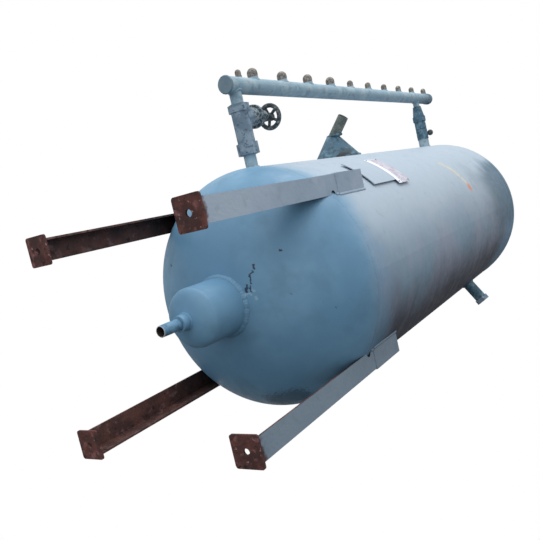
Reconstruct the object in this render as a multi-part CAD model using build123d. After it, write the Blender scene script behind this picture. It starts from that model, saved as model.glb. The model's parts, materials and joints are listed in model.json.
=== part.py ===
from build123d import *
from math import cos, radians, sin, sqrt
import os

# Vertical air receiver of about one cubic metre, standing on four angle legs.
# Millimetres. +Z is the vessel's axis, from the feet at z = 0 to the top head.
# The outlet header runs up the -Y side. +X is the side with the name plate.

# Vessel
SHELL_R = 400.0
WALL = 6.0
LOW_SEAM_Z = 630.0
HIGH_SEAM_Z = 2458.0
HEAD_DEPTH = 250.0
HEAD_FLANGE = 15.0
BEAD_WIDTH = 16.0
BEAD_HEIGHT = 3.0

# Legs
LEG_WIDTH = 63.0
LEG_THICK = 6.0
LEG_TOP_Z = 665.0
HOLE_SPACING = 562.0
FOOT_SIZE = 85.0
FOOT_THICK = 6.0
FOOT_CORNER_R = 8.0
FOOT_HOLE_R = 9.0
CLIP_WIDTH = 66.0
CLIP_TOP_Z = 850.0
CLIP_PROUD = 2.5
NOTCH_R = 14.0

# Drain pot under the bottom head
POT_R = 88.9
POT_WALL = 5.6
POT_CAP_Z = 240.0
POT_CAP_DEPTH = 40.0
DRAIN_R = 16.85
DRAIN_WALL = 3.4
DRAIN_THREAD_R = 16.62
DRAIN_THREAD = 22.0
DRAIN_END_Z = 100.0
COUPLING_R = 23.5
COUPLING_Z = 172.0
COUPLING_LENGTH = 38.0

# Outlet header
HEADER_Y = -681.0
HEADER_R = 28.5
HEADER_WALL = 3.5
HEADER_LOW_Z = 652.0
HEADER_HIGH_Z = 2646.0
END_DISC_R = 29.4
END_DISC_THICK = 5.0
SCREW_CAP_R = 31.0
SCREW_CAP_LENGTH = 38.0
SCREW_CAP_END = 6.0

# Ports along the header
FIRST_PORT_Z = 825.0
PORT_PITCH = 197.0
LARGE_PORTS = 4
SMALL_PORTS = 6
LARGE_SOCKET_R = 18.5
LARGE_BORE_R = 15.0
SMALL_SOCKET_R = 14.5
SMALL_BORE_R = 11.0
GAUGE_SOCKET_R = 12.3
GAUGE_BORE_R = 8.5
GAUGE_PORT_Z = 758.0
GAUGE_PORT_X = -14.0
SOCKET_HEIGHT = 5.0
PLUG_DEPTH = 12.0
PLUG_COLLAR = 5.0
LARGE_PLUG_HEIGHT = 32.5
SMALL_PLUG_HEIGHT = 27.5

# Risers between the shell and the header
RISER_R = 21.2
RISER_WALL = 3.6
LOW_RISER_Z = 695.0
HIGH_RISER_Z = 2436.0
UPPER_NIPPLE_R = 16.85
UPPER_NIPPLE_WALL = 3.25
THREAD_DEPTH = 15.0
SLIP = 0.05

# Gate valve in the lower riser
GATE_Y = -575.0
GATE_LOW_Y = -446.0
GATE_TOP_Y = -616.0
GATE_HEX_FLATS = 64.0
GATE_LOW_HEX = 40.0
GATE_TOP_HEX = 26.0
GATE_BARREL_R = 30.0
GATE_BRANCH_R = 33.0
GATE_BRANCH_Z = 768.0
GATE_BORE_R = 15.0
SEAT_R = 19.0
SEAT_THICK = 3.0
WEDGE_R = 18.5
WEDGE_THICK = 14.0
WEDGE_GAP = 0.5
WEDGE_TOP = 26.0
WEDGE_LIFT = 36.0
BONNET_FLANGE_R = 41.0
BONNET_FLANGE = 14.0
BONNET_HEX_FLATS = 62.0
BONNET_HEX = 18.0
BONNET_NECK = 22.0
PACKING_FLATS = 36.0
PACKING_LENGTH = 20.0
STEM_R = 5.0
STEM_LOW_Z = 716.0
STEM_TOP_Z = 896.0
WHEEL_Z = 875.0
WHEEL_R = 40.0
WHEEL_RIM_R = 8.0
WHEEL_HUB_R = 15.0
WHEEL_HUB = 20.0
WHEEL_SPOKES = 5
SPOKE_R = 5.5
SPOKE_START = 9.0
WHEEL_NUT_FLATS = 15.0

# Union, ball valve and socket in the upper riser
UNION_TOP_Y = -632.0
UNION_NUT_Y = -576.0
UNION_NUT = 30.0
UNION_NUT_FLATS = 62.0
UNION_TAIL_Y = -506.0
BALL_Y = -474.0
BALL_BODY_R = 30.5
BALL_R = 17.0
BALL_BORE_R = 11.0
BALL_CAVITY_R = 17.4
BALL_BODY_LOW_Y = -446.0
BALL_BODY_TOP_Y = -502.0
BALL_STEM_R = 4.5
BALL_BOSS_R = 10.0
BALL_BOSS_X = 34.0
KNOB_X = 44.0
KNOB_R = 16.0
UPPER_SOCKET_R = 28.0

# Inlet on the -X side of the header line
INLET_X = -120.0
INLET_Z = 1567.0
NECK_R = 109.5
NECK_WALL = 6.0
NECK_TOP_Y = -408.0
CONE_TOP_Y = -518.0
INLET_R = 24.15
INLET_WALL = 3.7
INLET_LEAN = 42.0
INLET_LENGTH = 112.0

# Side socket near the top
SIDE_AZIMUTH = 58.0
SIDE_Z = 2040.0
SIDE_R = 27.0
SIDE_BORE_R = 17.0
SIDE_REACH = 92.0
SIDE_PLUG_FLATS = 60.0
SIDE_PLUG = 22.0

# Name plate, on a curved holder that stands off the shell
HOLDER_AZIMUTH = -48.8
HOLDER_SPAN = 20.5
HOLDER_LOW_Z = 928.0
HOLDER_HIGH_Z = 1226.0
HOLDER_GAP = 6.0
HOLDER_THICK = 3.0
PLATE_AZIMUTH = -47.3
PLATE_SPAN = 23.5
PLATE_LOW_Z = 1116.0
PLATE_HIGH_Z = 1220.0
PLATE_THICK = 1.5
RIVET_R = 3.0
RIVET_HEIGHT = 1.6

UP = (0, 0, 1)
DOWN = (0, 0, -1)
OUTWARD = (0, -1, 0)
INWARD = (0, 1, 0)
BASE = (Align.CENTER, Align.CENTER, Align.MIN)
QUADRANTS = (1, 2, 3, 4)
FOOT = HOLE_SPACING / 2
LEG_HEEL = FOOT + LEG_WIDTH / 2


def rod(start, direction, length, radius):
    return Plane(origin=start, z_dir=direction) * Cylinder(radius, length, align=BASE)


def tube(start, direction, length, outer, inner):
    return rod(start, direction, length, outer) - rod(start, direction, length, inner)


def hexagon(start, direction, length, flats):
    outline = Plane(origin=start, z_dir=direction) * RegularPolygon(flats / 2, 6, major_radius=False)
    return extrude(outline, length)


def frustum(start, direction, length, low_radius, high_radius):
    return Plane(origin=start, z_dir=direction) * Cone(low_radius, high_radius, length, align=BASE)


def box(low, high):
    size = [b - a for a, b in zip(low, high)]
    middle = [(a + b) / 2 for a, b in zip(low, high)]
    return Pos(*middle) * Box(*size)


def around(azimuth):
    return (cos(radians(azimuth)), sin(radians(azimuth)), 0)


def group(solids):
    return Compound(children=list(solids))


# ---------------------------------------------------------------- vessel

def dish(radius, depth, flange=0.0):
    """Filled half ellipsoid below z = 0, with an optional straight flange above it."""
    section = Ellipse(radius, depth) & (Pos(radius / 2, -depth / 2) * Rectangle(radius, depth))
    if flange:
        section += Pos(radius / 2, flange / 2) * Rectangle(radius, flange)
    return revolve(Plane.XZ * section, Axis.Z)


def head(filled=False):
    """Bottom head with its seam at z = 0."""
    outer = dish(SHELL_R, HEAD_DEPTH, HEAD_FLANGE)
    if not filled:
        outer -= dish(SHELL_R - WALL, HEAD_DEPTH - WALL, HEAD_FLANGE)
    return Pos(0, 0, -HEAD_FLANGE) * outer


def vessel_envelope():
    barrel = rod((0, 0, LOW_SEAM_Z), UP, HIGH_SEAM_Z - LOW_SEAM_Z, SHELL_R)
    low = Pos(0, 0, LOW_SEAM_Z) * head(filled=True)
    high = Pos(0, 0, HIGH_SEAM_Z) * Rot(180, 0, 0) * head(filled=True)
    return barrel + low + high


def bead(seam_z):
    """Weld bead: a ring with a low crowned section on the shell's surface."""
    half = BEAD_WIDTH / 2
    crown = ThreePointArc((SHELL_R, -half), (SHELL_R + BEAD_HEIGHT, 0), (SHELL_R, half))
    flat = Line((SHELL_R, half), (SHELL_R, -half))
    section = make_face([crown, flat])
    return Pos(0, 0, seam_z) * revolve(Plane.XZ * section, Axis.Z)


def shell():
    body = tube((0, 0, LOW_SEAM_Z), UP, HIGH_SEAM_Z - LOW_SEAM_Z, SHELL_R, SHELL_R - WALL)
    side = around(SIDE_AZIMUTH)
    body -= rod((0, 0, LOW_RISER_Z), OUTWARD, SHELL_R + WALL, RISER_R - RISER_WALL)
    body -= rod((0, 0, HIGH_RISER_Z), OUTWARD, SHELL_R + WALL, RISER_R - RISER_WALL)
    body -= rod((INLET_X, 0, INLET_Z), OUTWARD, SHELL_R + WALL, NECK_R - NECK_WALL)
    body -= rod((0, 0, SIDE_Z), side, SHELL_R + WALL, SIDE_BORE_R)
    return body


def bottom_head():
    return Pos(0, 0, LOW_SEAM_Z) * head() - rod((0, 0, 0), UP, LOW_SEAM_Z, POT_R - POT_WALL)


def top_head():
    return Pos(0, 0, HIGH_SEAM_Z) * Rot(180, 0, 0) * head()


# ---------------------------------------------------------------- drain pot

def drain_pot():
    pipe = tube((0, 0, POT_CAP_Z), UP, LOW_SEAM_Z - POT_CAP_Z, POT_R, POT_R - POT_WALL)
    return pipe - Pos(0, 0, LOW_SEAM_Z) * head(filled=True)


def drain_pot_cap():
    cap = dish(POT_R, POT_CAP_DEPTH) - dish(POT_R - POT_WALL, POT_CAP_DEPTH - POT_WALL)
    return Pos(0, 0, POT_CAP_Z) * cap - rod((0, 0, 0), UP, POT_CAP_Z, DRAIN_R - DRAIN_WALL)


def drain_coupling():
    cap_outside = Pos(0, 0, POT_CAP_Z) * dish(POT_R, POT_CAP_DEPTH, HEAD_FLANGE)
    ring = tube((0, 0, COUPLING_Z), UP, COUPLING_LENGTH, COUPLING_R, DRAIN_R + SLIP)
    return ring - cap_outside


def drain_nipple():
    """Pipe from the coupling down, threaded at its free end."""
    top_z = POT_CAP_Z - POT_CAP_DEPTH
    plain_z = DRAIN_END_Z + DRAIN_THREAD
    inner = DRAIN_R - DRAIN_WALL
    thread = tube((0, 0, DRAIN_END_Z), UP, DRAIN_THREAD, DRAIN_THREAD_R, inner)
    return thread + tube((0, 0, plain_z), UP, top_z - plain_z, DRAIN_R, inner)


# ---------------------------------------------------------------- legs

def angle(heel, width, low_z, high_z):
    """Equal angle in the +X +Y quadrant, its heel outwards."""
    outer = box((heel - width, heel - width, low_z), (heel, heel, high_z))
    inside = heel - LEG_THICK
    return outer - box((heel - width, heel - width, low_z), (inside, inside, high_z))


def leg(envelope):
    bar = angle(LEG_HEEL, LEG_WIDTH, FOOT_THICK, LEG_TOP_Z) - envelope
    toe = LEG_HEEL - LEG_WIDTH
    for x, y in ((LEG_HEEL, toe), (toe, LEG_HEEL)):
        bar -= Pos(x, y, LOW_SEAM_Z) * Sphere(NOTCH_R)
    return bar


def leg_clip(envelope):
    return angle(LEG_HEEL + CLIP_PROUD, CLIP_WIDTH, LEG_TOP_Z, CLIP_TOP_Z) - envelope


def foot_plate():
    outline = Pos(FOOT, FOOT) * RectangleRounded(FOOT_SIZE, FOOT_SIZE, FOOT_CORNER_R)
    return extrude(outline, FOOT_THICK) - rod((FOOT, FOOT, 0), UP, FOOT_THICK, FOOT_HOLE_R)


def in_quadrant(solid, quadrant):
    return Rot(0, 0, 90 * (quadrant - 1)) * solid


# ---------------------------------------------------------------- header

def port_heights():
    return [FIRST_PORT_Z + PORT_PITCH * i for i in range(LARGE_PORTS + SMALL_PORTS)]


def header_envelope():
    return rod((0, HEADER_Y, HEADER_LOW_Z), UP, HEADER_HIGH_Z - HEADER_LOW_Z, HEADER_R)


def header_pipe():
    length = HEADER_HIGH_Z - HEADER_LOW_Z
    pipe = tube((0, HEADER_Y, HEADER_LOW_Z), UP, length, HEADER_R, HEADER_R - HEADER_WALL)
    for i, z in enumerate(port_heights()):
        bore = LARGE_BORE_R if i < LARGE_PORTS else SMALL_BORE_R
        pipe -= rod((0, HEADER_Y, z), OUTWARD, HEADER_R + WALL, bore)
    pipe -= rod((GAUGE_PORT_X, HEADER_Y, GAUGE_PORT_Z), OUTWARD, HEADER_R + WALL, GAUGE_BORE_R)
    pipe -= rod((0, HEADER_Y, LOW_RISER_Z), INWARD, HEADER_R + WALL, RISER_R - RISER_WALL)
    return pipe - rod((0, HEADER_Y, HIGH_RISER_Z), INWARD, HEADER_R + WALL, UPPER_NIPPLE_R - UPPER_NIPPLE_WALL)


def header_end_disc():
    disc = rod((0, HEADER_Y, HEADER_LOW_Z - END_DISC_THICK), UP, END_DISC_THICK, END_DISC_R)
    return chamfer(disc.edges().group_by(Axis.Z)[0], 1.2)


def header_screw_cap():
    low_z = HEADER_HIGH_Z + SCREW_CAP_END - SCREW_CAP_LENGTH
    cap = rod((0, HEADER_Y, low_z), UP, SCREW_CAP_LENGTH, SCREW_CAP_R)
    cap = chamfer(cap.edges().group_by(Axis.Z)[-1], 3)
    return cap - rod((0, HEADER_Y, low_z), UP, SCREW_CAP_LENGTH - SCREW_CAP_END, HEADER_R + SLIP)


def port_socket(x, z, outer, bore):
    length = HEADER_R + SOCKET_HEIGHT
    return tube((x, HEADER_Y, z), OUTWARD, length, outer, bore) - header_envelope()


def port_plug(x, z, bore, height):
    """Threaded shank in the socket, a round collar, and a domed hexagon above it."""
    top_y = HEADER_Y - HEADER_R - SOCKET_HEIGHT
    shank = rod((x, top_y + PLUG_DEPTH, z), OUTWARD, PLUG_DEPTH, bore - SLIP)
    collar = rod((x, top_y, z), OUTWARD, PLUG_COLLAR, bore + 3)
    hexagonal = hexagon((x, top_y - PLUG_COLLAR, z), OUTWARD, height - PLUG_COLLAR, 2 * bore + 4)
    dome_r = 1.25 * bore
    dome_y = top_y - height + dome_r
    rounded = Pos(x, dome_y, z) * Sphere(dome_r) + rod((x, top_y, z), OUTWARD, top_y - dome_y, dome_r)
    return shank + collar + (hexagonal & rounded)


def sockets(heights, outer, bore):
    return group(port_socket(0, z, outer, bore) for z in heights)


def plugs(heights, bore, height):
    return group(port_plug(0, z, bore, height) for z in heights)


# ---------------------------------------------------------------- lower riser

def riser_tube(from_y, to_y):
    return tube((0, from_y, LOW_RISER_Z), OUTWARD, from_y - to_y, RISER_R, RISER_R - RISER_WALL)


def lower_riser_pipe(envelope):
    return riser_tube(-SHELL_R / 2, GATE_LOW_Y - THREAD_DEPTH) - envelope


def lower_riser_nipple():
    return riser_tube(GATE_TOP_Y + THREAD_DEPTH, HEADER_Y) - header_envelope()


def gate_slot():
    """Chamber that the wedge travels in."""
    half_x = WEDGE_R + WEDGE_GAP
    half_y = WEDGE_THICK / 2 + WEDGE_GAP
    low = (-half_x, GATE_Y - half_y, LOW_RISER_Z)
    high = (half_x, GATE_Y + half_y, GATE_BRANCH_Z)
    return box(low, high) + rod((0, GATE_Y - half_y, LOW_RISER_Z), INWARD, 2 * half_y, half_x)


def gate_valve_body():
    z = LOW_RISER_Z
    body = hexagon((0, GATE_LOW_Y, z), OUTWARD, GATE_LOW_HEX, GATE_HEX_FLATS)
    body += rod((0, GATE_LOW_Y, z), OUTWARD, GATE_LOW_Y - GATE_TOP_Y, GATE_BARREL_R)
    body += hexagon((0, GATE_TOP_Y, z), INWARD, GATE_TOP_HEX, GATE_HEX_FLATS)
    body += rod((0, GATE_Y, z), UP, GATE_BRANCH_Z - z, GATE_BRANCH_R)
    body -= rod((0, GATE_LOW_Y, z), OUTWARD, GATE_LOW_Y - GATE_TOP_Y, GATE_BORE_R)
    body -= rod((0, GATE_LOW_Y, z), OUTWARD, THREAD_DEPTH, RISER_R + SLIP)
    body -= rod((0, GATE_TOP_Y, z), INWARD, THREAD_DEPTH, RISER_R + SLIP)
    seat_reach = WEDGE_THICK / 2 + WEDGE_GAP + SEAT_THICK
    body -= rod((0, GATE_Y - seat_reach, z), INWARD, 2 * seat_reach, SEAT_R)
    return body - gate_slot()


def gate_valve_seats():
    face = WEDGE_THICK / 2 + WEDGE_GAP
    low = tube((0, GATE_Y + face, LOW_RISER_Z), INWARD, SEAT_THICK, SEAT_R, GATE_BORE_R)
    high = tube((0, GATE_Y - face, LOW_RISER_Z), OUTWARD, SEAT_THICK, SEAT_R, GATE_BORE_R)
    return group([low, high])


def gate_wedge():
    half = WEDGE_THICK / 2
    disc = rod((0, GATE_Y - half, LOW_RISER_Z), INWARD, WEDGE_THICK, WEDGE_R)
    block_low = (-WEDGE_R, GATE_Y - half, LOW_RISER_Z)
    block_high = (WEDGE_R, GATE_Y + half, LOW_RISER_Z + WEDGE_TOP)
    low_z = STEM_LOW_Z - WEDGE_LIFT - 1
    return disc + box(block_low, block_high) - rod((0, GATE_Y, low_z), UP, WEDGE_LIFT * 2, STEM_R + SLIP)


def valve_bonnet():
    z = GATE_BRANCH_Z
    body = rod((0, GATE_Y, z), UP, BONNET_FLANGE, BONNET_FLANGE_R)
    body = chamfer(body.edges().group_by(Axis.Z)[-1], 3)
    body += hexagon((0, GATE_Y, z + BONNET_FLANGE), UP, BONNET_HEX, BONNET_HEX_FLATS)
    neck_z = z + BONNET_FLANGE + BONNET_HEX
    body += frustum((0, GATE_Y, neck_z), UP, BONNET_NECK, BONNET_HEX_FLATS / 2, PACKING_FLATS / 2)
    return body - rod((0, GATE_Y, z), UP, 2 * (neck_z - z), STEM_R + SLIP)


def packing_nut():
    z = GATE_BRANCH_Z + BONNET_FLANGE + BONNET_HEX + BONNET_NECK
    nut = hexagon((0, GATE_Y, z), UP, PACKING_LENGTH, PACKING_FLATS)
    return nut - rod((0, GATE_Y, z), UP, PACKING_LENGTH, STEM_R + SLIP)


def valve_stem():
    return rod((0, GATE_Y, STEM_LOW_Z), UP, STEM_TOP_Z - STEM_LOW_Z, STEM_R)


def handwheel():
    centre = Pos(0, GATE_Y, WHEEL_Z)
    wheel = centre * Torus(WHEEL_R, WHEEL_RIM_R)
    wheel += rod((0, GATE_Y, WHEEL_Z - WHEEL_HUB / 2), UP, WHEEL_HUB, WHEEL_HUB_R)
    for i in range(WHEEL_SPOKES):
        direction = around(360 * (i + 0.5) / WHEEL_SPOKES)
        start = (SPOKE_START * direction[0], GATE_Y + SPOKE_START * direction[1], WHEEL_Z)
        wheel += rod(start, direction, WHEEL_R - SPOKE_START, SPOKE_R)
    return wheel - rod((0, GATE_Y, WHEEL_Z - WHEEL_HUB), UP, 2 * WHEEL_HUB, STEM_R)


def handwheel_nut():
    z = WHEEL_Z + WHEEL_HUB / 2
    nut = hexagon((0, GATE_Y, z), UP, STEM_TOP_Z - z - 2, WHEEL_NUT_FLATS)
    return nut - rod((0, GATE_Y, z), UP, WHEEL_HUB, STEM_R)


# ---------------------------------------------------------------- upper riser

def upper_riser_nipple():
    start_y = UNION_TOP_Y + THREAD_DEPTH
    inner = UPPER_NIPPLE_R - UPPER_NIPPLE_WALL
    nipple = tube((0, start_y, HIGH_RISER_Z), OUTWARD, start_y - HEADER_Y, UPPER_NIPPLE_R, inner)
    return nipple - header_envelope()


def union_head():
    """Tapered half of the union that takes the nipple."""
    z = HIGH_RISER_Z
    length = UNION_NUT_Y - UNION_TOP_Y
    body = frustum((0, UNION_NUT_Y, z), OUTWARD, length, UNION_NUT_FLATS / 2, UPPER_NIPPLE_R + 5)
    body -= rod((0, UNION_NUT_Y, z), OUTWARD, length, UPPER_NIPPLE_R - UPPER_NIPPLE_WALL)
    return body - rod((0, UNION_TOP_Y, z), INWARD, THREAD_DEPTH, UPPER_NIPPLE_R + SLIP)


def union_nut():
    """Ring nut that draws the two halves together."""
    nut = hexagon((0, UNION_NUT_Y + UNION_NUT, HIGH_RISER_Z), OUTWARD, UNION_NUT, UNION_NUT_FLATS)
    inner = UNION_NUT_FLATS / 2 - 5
    return nut - rod((0, UNION_NUT_Y + UNION_NUT, HIGH_RISER_Z), OUTWARD, UNION_NUT, inner)


def union_tail():
    """Spigot inside the nut, then a taper down to the ball valve."""
    z = HIGH_RISER_Z
    inner = UNION_NUT_FLATS / 2 - 5
    low_y = UNION_NUT_Y + UNION_NUT
    body = rod((0, low_y, z), OUTWARD, UNION_NUT, inner)
    body += frustum((0, UNION_TAIL_Y, z), OUTWARD, UNION_TAIL_Y - low_y, BALL_BODY_R, UNION_NUT_FLATS / 2 - 1)
    body += rod((0, BALL_BODY_TOP_Y, z), OUTWARD, BALL_BODY_TOP_Y - UNION_TAIL_Y, BALL_BODY_R - 2)
    return body - rod((0, BALL_BODY_TOP_Y, z), OUTWARD, BALL_BODY_TOP_Y - UNION_NUT_Y, BALL_BORE_R)


def ball_valve_body():
    z = HIGH_RISER_Z
    length = BALL_BODY_LOW_Y - BALL_BODY_TOP_Y
    body = rod((0, BALL_BODY_LOW_Y, z), OUTWARD, length, BALL_BODY_R)
    body += rod((0, BALL_Y, z), (1, 0, 0), BALL_BOSS_X, BALL_BOSS_R)
    body -= rod((0, BALL_BODY_LOW_Y, z), OUTWARD, length, BALL_BORE_R)
    body -= rod((0, BALL_Y + BALL_CAVITY_R, z), OUTWARD, 2 * BALL_CAVITY_R, BALL_CAVITY_R)
    return body - rod((0, BALL_Y, z), (1, 0, 0), BALL_BOSS_X, BALL_STEM_R + SLIP)


def ball_seats():
    """Rings that carry the ball, one each side."""
    face = sqrt(BALL_R ** 2 - (BALL_BORE_R + 1) ** 2) + 0.6
    thick = BALL_CAVITY_R - face
    rings = []
    for direction, sign in ((INWARD, 1), (OUTWARD, -1)):
        start = (0, BALL_Y + sign * face, HIGH_RISER_Z)
        rings.append(tube(start, direction, thick, BALL_CAVITY_R, BALL_BORE_R + 1))
    return group(rings)


def valve_ball():
    ball = Pos(0, BALL_Y, HIGH_RISER_Z) * Sphere(BALL_R)
    return ball - rod((0, BALL_Y + BALL_R, HIGH_RISER_Z), OUTWARD, 2 * BALL_R, BALL_BORE_R)


def ball_stem():
    return rod((BALL_R, BALL_Y, HIGH_RISER_Z), (1, 0, 0), KNOB_X - BALL_R, BALL_STEM_R)


def ball_knob():
    """Round knob with two flats, pressed on the stem."""
    knob = Pos(KNOB_X + 3, BALL_Y, HIGH_RISER_Z) * Sphere(KNOB_R)
    knob &= rod((BALL_BOSS_X + 1, BALL_Y, HIGH_RISER_Z), (1, 0, 0), KNOB_R * 1.6, KNOB_R)
    return knob - rod((BALL_BOSS_X, BALL_Y, HIGH_RISER_Z), (1, 0, 0), KNOB_X - BALL_BOSS_X, BALL_STEM_R)


def upper_riser_socket(envelope):
    """Its foot is cut out over the girth weld, which runs on under it."""
    low_y = -SHELL_R / 2
    length = low_y - BALL_BODY_LOW_Y
    socket = tube((0, low_y, HIGH_RISER_Z), OUTWARD, length, UPPER_SOCKET_R, RISER_R - RISER_WALL)
    return socket - envelope - bead(HIGH_SEAM_Z)


# ---------------------------------------------------------------- inlet

def inlet_neck(envelope):
    neck = rod((INLET_X, -SHELL_R / 2, INLET_Z), OUTWARD, -NECK_TOP_Y - SHELL_R / 2, NECK_R)
    neck -= rod((INLET_X, 0, INLET_Z), OUTWARD, SHELL_R * 2, NECK_R - NECK_WALL)
    return neck - envelope


def inlet_direction():
    return (sin(radians(INLET_LEAN)), -cos(radians(INLET_LEAN)), 0)


def inlet_reducer():
    """Cone from the neck down to the inlet pipe."""
    start = (INLET_X, NECK_TOP_Y, INLET_Z)
    length = NECK_TOP_Y - CONE_TOP_Y
    cone = frustum(start, OUTWARD, length, NECK_R, INLET_R + 3)
    cone -= frustum(start, OUTWARD, length - NECK_WALL, NECK_R - NECK_WALL, INLET_R - INLET_WALL)
    top = (INLET_X, CONE_TOP_Y + 2 * NECK_WALL, INLET_Z)
    return cone - rod(top, inlet_direction(), INLET_LENGTH, INLET_R + SLIP)


def inlet_pipe():
    top = (INLET_X, CONE_TOP_Y + 2 * NECK_WALL, INLET_Z)
    return tube(top, inlet_direction(), INLET_LENGTH, INLET_R, INLET_R - INLET_WALL)


# ---------------------------------------------------------------- side socket

def side_socket(envelope):
    direction = around(SIDE_AZIMUTH)
    start = tuple(SHELL_R / 2 * v for v in direction[:2]) + (SIDE_Z,)
    length = SHELL_R / 2 + SIDE_REACH
    return tube(start, direction, length, SIDE_R, SIDE_BORE_R) - envelope


def side_plug():
    direction = around(SIDE_AZIMUTH)
    end = SHELL_R + SIDE_REACH
    start = tuple(end * v for v in direction[:2]) + (SIDE_Z,)
    inner = tuple((end - PLUG_DEPTH * 2) * v for v in direction[:2]) + (SIDE_Z,)
    top = hexagon(start, direction, SIDE_PLUG, SIDE_PLUG_FLATS)
    return top + rod(inner, direction, PLUG_DEPTH * 2, SIDE_BORE_R - SLIP)


# ---------------------------------------------------------------- name plate

def curved_plate(azimuth, span, inner, thick, low_z, high_z):
    """Sector of a tube about the vessel's axis."""
    outer = inner + thick
    arc_out = CenterArc((0, 0), outer, azimuth - span / 2, span)
    arc_in = CenterArc((0, 0), inner, azimuth - span / 2, span)
    sides = [Line(arc_in @ 0, arc_out @ 0), Line(arc_in @ 1, arc_out @ 1)]
    section = make_face([arc_out, arc_in] + sides)
    return Pos(0, 0, low_z) * extrude(section, high_z - low_z)


def nameplate_holder():
    inner = SHELL_R + HOLDER_GAP
    plate = curved_plate(HOLDER_AZIMUTH, HOLDER_SPAN, inner, HOLDER_THICK, HOLDER_LOW_Z, HOLDER_HIGH_Z)
    for side in (-1, 1):
        azimuth = HOLDER_AZIMUTH + side * HOLDER_SPAN * 0.4
        plate += curved_plate(azimuth, 1.2, SHELL_R, HOLDER_GAP + 1, HOLDER_LOW_Z + 30, HOLDER_HIGH_Z - 30)
    return plate


def nameplate():
    inner = SHELL_R + HOLDER_GAP + HOLDER_THICK
    return curved_plate(PLATE_AZIMUTH, PLATE_SPAN, inner, PLATE_THICK, PLATE_LOW_Z, PLATE_HIGH_Z)


def nameplate_rivets():
    radius = SHELL_R + HOLDER_GAP + HOLDER_THICK + PLATE_THICK
    rivets = []
    for side in (-1, 1):
        direction = around(PLATE_AZIMUTH + side * PLATE_SPAN * 0.45)
        for z in (PLATE_LOW_Z + 8, PLATE_HIGH_Z - 8):
            start = tuple(radius * v for v in direction[:2]) + (z,)
            rivets.append(rod(start, direction, RIVET_HEIGHT, RIVET_R))
    return group(rivets)


# ---------------------------------------------------------------- assembly

def build():
    envelope = vessel_envelope()
    heights = port_heights()
    large = heights[:LARGE_PORTS]
    small = heights[LARGE_PORTS:]
    nodes = {
        "shell": shell(),
        "bottom_head": bottom_head(),
        "top_head": top_head(),
        "bottom_girth_weld": bead(LOW_SEAM_Z),
        "top_girth_weld": bead(HIGH_SEAM_Z),
        "drain_pot": drain_pot(),
        "drain_pot_cap": drain_pot_cap(),
        "drain_coupling": drain_coupling(),
        "drain_nipple": drain_nipple(),
        "header_pipe": header_pipe(),
        "header_end_disc": header_end_disc(),
        "header_screw_cap": header_screw_cap(),
        "large_port_sockets": sockets(large, LARGE_SOCKET_R, LARGE_BORE_R),
        "large_port_plugs": plugs(large, LARGE_BORE_R, LARGE_PLUG_HEIGHT),
        "small_port_sockets": sockets(small, SMALL_SOCKET_R, SMALL_BORE_R),
        "small_port_plugs": plugs(small, SMALL_BORE_R, SMALL_PLUG_HEIGHT),
        "gauge_port_socket": port_socket(GAUGE_PORT_X, GAUGE_PORT_Z, GAUGE_SOCKET_R, GAUGE_BORE_R),
        "gauge_port_plug": port_plug(GAUGE_PORT_X, GAUGE_PORT_Z, GAUGE_BORE_R, SMALL_PLUG_HEIGHT),
        "lower_riser_pipe": lower_riser_pipe(envelope),
        "lower_riser_nipple": lower_riser_nipple(),
        "gate_valve_body": gate_valve_body(),
        "gate_valve_seats": gate_valve_seats(),
        "gate_wedge": gate_wedge(),
        "valve_bonnet": valve_bonnet(),
        "packing_nut": packing_nut(),
        "valve_stem": valve_stem(),
        "handwheel": handwheel(),
        "handwheel_nut": handwheel_nut(),
        "upper_riser_nipple": upper_riser_nipple(),
        "union_head": union_head(),
        "union_nut": union_nut(),
        "union_tail": union_tail(),
        "ball_valve_body": ball_valve_body(),
        "ball_seats": ball_seats(),
        "valve_ball": valve_ball(),
        "ball_stem": ball_stem(),
        "ball_knob": ball_knob(),
        "upper_riser_socket": upper_riser_socket(envelope),
        "inlet_neck": inlet_neck(envelope),
        "inlet_reducer": inlet_reducer(),
        "inlet_pipe": inlet_pipe(),
        "side_socket": side_socket(envelope),
        "side_plug": side_plug(),
        "nameplate_holder": nameplate_holder(),
        "nameplate": nameplate(),
        "nameplate_rivets": nameplate_rivets(),
    }
    one_leg = leg(envelope)
    one_clip = leg_clip(envelope)
    one_plate = foot_plate()
    for quadrant in QUADRANTS:
        nodes[f"leg_{quadrant}"] = in_quadrant(one_leg, quadrant)
        nodes[f"leg_clip_{quadrant}"] = in_quadrant(one_clip, quadrant)
        nodes[f"foot_plate_{quadrant}"] = in_quadrant(one_plate, quadrant)
    return nodes


os.makedirs("parts", exist_ok=True)
for name, shape in build().items():
    export_step(shape, f"parts/{name}.step")
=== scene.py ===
import json
from math import atan2, cos, pi, radians, sin, sqrt
from random import Random

import bpy
from mathutils import Matrix, Vector


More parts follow.
